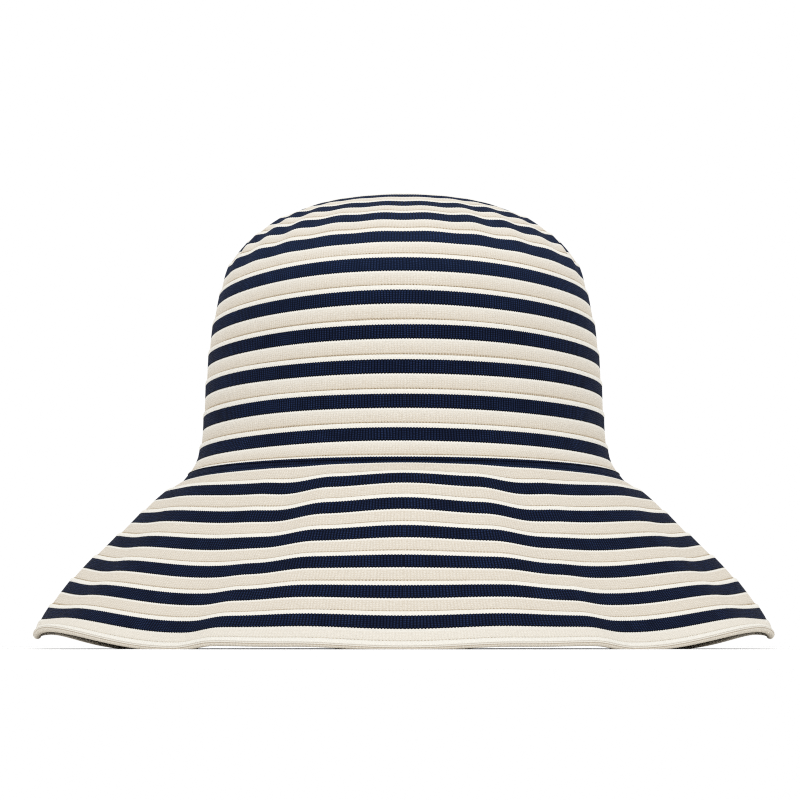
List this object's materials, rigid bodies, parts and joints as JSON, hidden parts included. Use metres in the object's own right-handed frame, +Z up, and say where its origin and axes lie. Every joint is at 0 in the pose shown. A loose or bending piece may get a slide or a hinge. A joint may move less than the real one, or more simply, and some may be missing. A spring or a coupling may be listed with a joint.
{
  "type": "bucket hat",
  "caption": "Soft round bucket hat sewn from striped ribbon rows, with a wide drooping wavy brim and a thick folded rim binding.",
  "frame": {"origin": "middle of the hat's footprint, on the surface its rim rests on", "axes": "+Z up through the crown, -Y towards the front, +X to the wearer's left"},
  "size_m": [0.3324, 0.3248, 0.2045],
  "materials": {
    "crown_ribbon": "matte",
    "brim_ribbon": "matte",
    "binding_cloth": "matte"
  },
  "bodies": {
    "root": {"crown": "crown_ribbon", "brim": "brim_ribbon", "rim_binding": "binding_cloth"}
  },
  "joints": []
}
